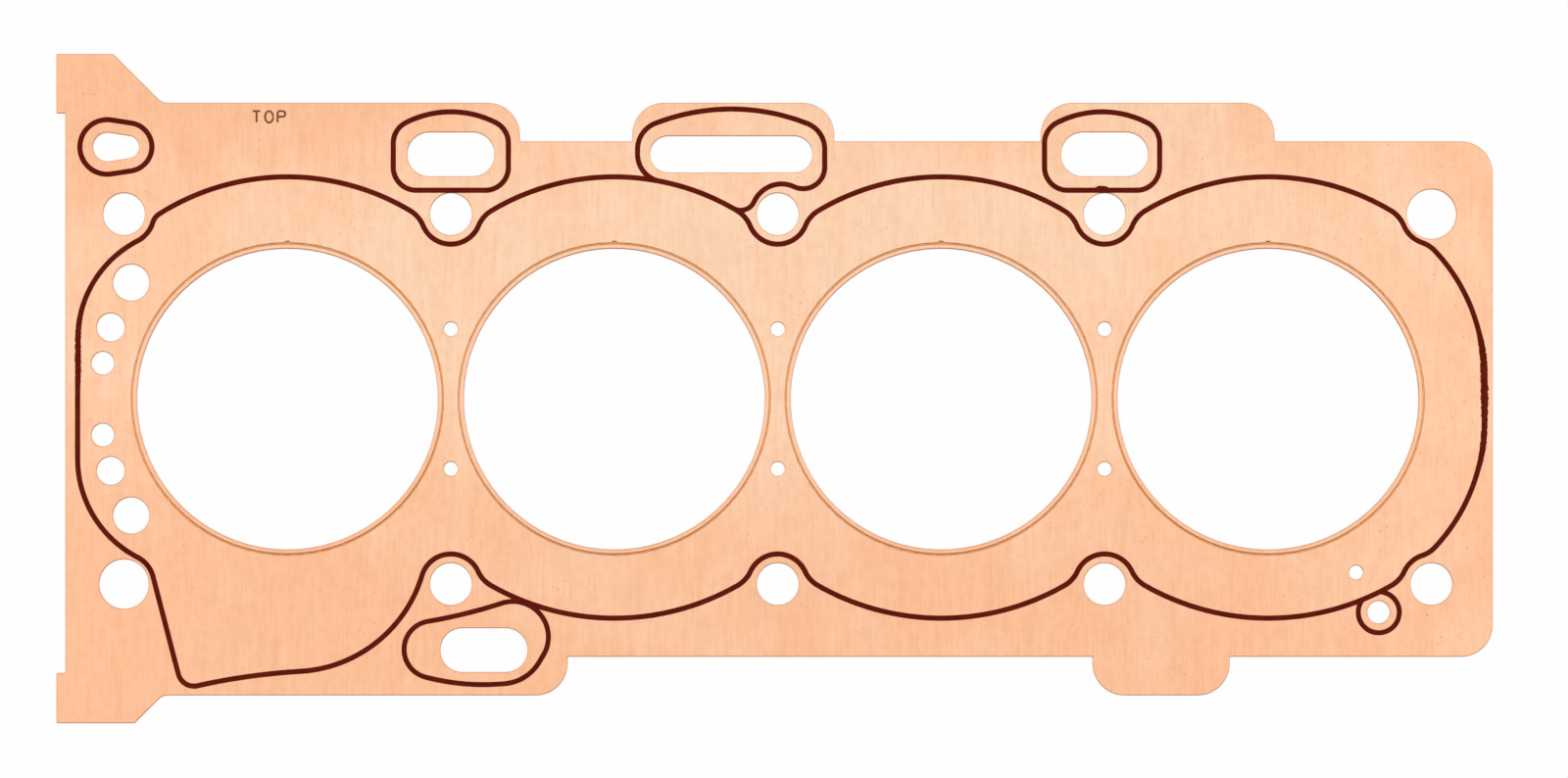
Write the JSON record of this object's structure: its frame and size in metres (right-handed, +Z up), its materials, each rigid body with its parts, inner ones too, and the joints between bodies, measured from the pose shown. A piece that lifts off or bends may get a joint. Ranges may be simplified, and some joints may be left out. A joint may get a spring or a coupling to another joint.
{
  "type": "cylinder head gasket",
  "caption": "Flat copper head gasket for an inline engine, with a loose ring in each bore, bolt, oil and coolant holes and raised sealing beads.",
  "frame": {"origin": "centre of the head-bolt pattern, on the face that meets the block", "axes": "+X along the crankshaft to the rear, +Y across the engine, +Z up through the gasket to the head"},
  "size_m": [0.4132, 0.1925, 0.0012],
  "materials": {
    "copper": "satin rolled copper sheet",
    "ring_copper": "satin rolled copper",
    "bead": "matte printed silicone"
  },
  "bodies": {
    "root": {"copper_plate": "copper", "combustion_rings": "ring_copper", "jacket_bead": "bead", "passage_beads": "bead"}
  },
  "joints": []
}
